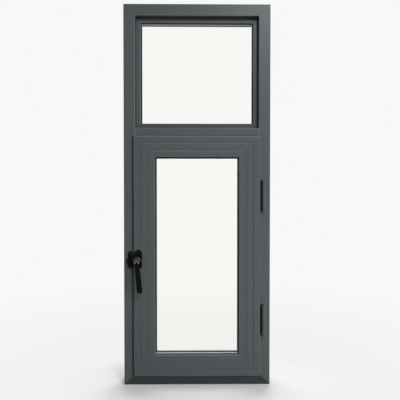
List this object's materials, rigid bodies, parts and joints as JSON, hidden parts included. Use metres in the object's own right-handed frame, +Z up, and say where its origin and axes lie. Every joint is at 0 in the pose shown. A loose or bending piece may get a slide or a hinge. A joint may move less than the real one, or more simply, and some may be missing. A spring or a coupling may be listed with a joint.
{
  "type": "casement window with fixed top light",
  "caption": "Tall narrow aluminium window: a fixed double-glazed light over a side-hung sash with barrel hinges on the right and a lever handle on the left.",
  "frame": {"origin": "middle of the sill's bottom face, halfway through the frame's depth", "axes": "+Z up, +X along the sill to the right seen from the room, +Y to the outside; the handle and hinges are on the -Y side"},
  "size_m": [0.6, 0.122, 1.56],
  "materials": {
    "frame_paint": "satin",
    "glass": "polished",
    "seal_rubber": "matte",
    "spacer_bar": "satin",
    "packer_plastic": "matte",
    "hinge_leaf": "satin",
    "hinge_pin": "satin",
    "tongue_steel": "satin",
    "button_black": "gloss",
    "handle_black": "satin"
  },
  "bodies": {
    "root": {"fixed_bead_bottom": "frame_paint", "fixed_bead_left": "frame_paint", "fixed_bead_right": "frame_paint", "fixed_bead_top": "frame_paint", "fixed_inner_gasket": "seal_rubber", "fixed_inner_pane": "glass", "fixed_outer_gasket": "seal_rubber", "fixed_outer_pane": "glass", "fixed_setting_block_left": "packer_plastic", "fixed_setting_block_right": "packer_plastic", "fixed_spacer": "spacer_bar", "frame_head": "frame_paint", "frame_left_jamb": "frame_paint", "frame_right_jamb": "frame_paint", "frame_sill": "frame_paint", "handle_base": "handle_black", "handle_latch_tongue": "tongue_steel", "handle_lever": "handle_black", "handle_lock_button": "button_black", "keeper": "handle_black", "lower_hinge_frame_leaf": "hinge_leaf", "lower_hinge_pin": "hinge_pin", "lower_hinge_sash_leaf": "hinge_leaf", "sash_bead_bottom": "frame_paint", "sash_bead_left": "frame_paint", "sash_bead_right": "frame_paint", "sash_bead_top": "frame_paint", "sash_bottom_rail": "frame_paint", "sash_hinge_stile": "frame_paint", "sash_inner_gasket": "seal_rubber", "sash_inner_pane": "glass", "sash_lock_stile": "frame_paint", "sash_outer_gasket": "seal_rubber", "sash_outer_pane": "glass", "sash_overlap_gasket": "seal_rubber", "sash_overlap_gasket_hinge_side": "seal_rubber", "sash_setting_block_left": "packer_plastic", "sash_setting_block_right": "packer_plastic", "sash_spacer": "spacer_bar", "sash_stop_gasket": "seal_rubber", "sash_top_rail": "frame_paint", "transom": "frame_paint", "upper_hinge_frame_leaf": "hinge_leaf", "upper_hinge_pin": "hinge_pin", "upper_hinge_sash_leaf": "hinge_leaf"}
  },
  "joints": []
}
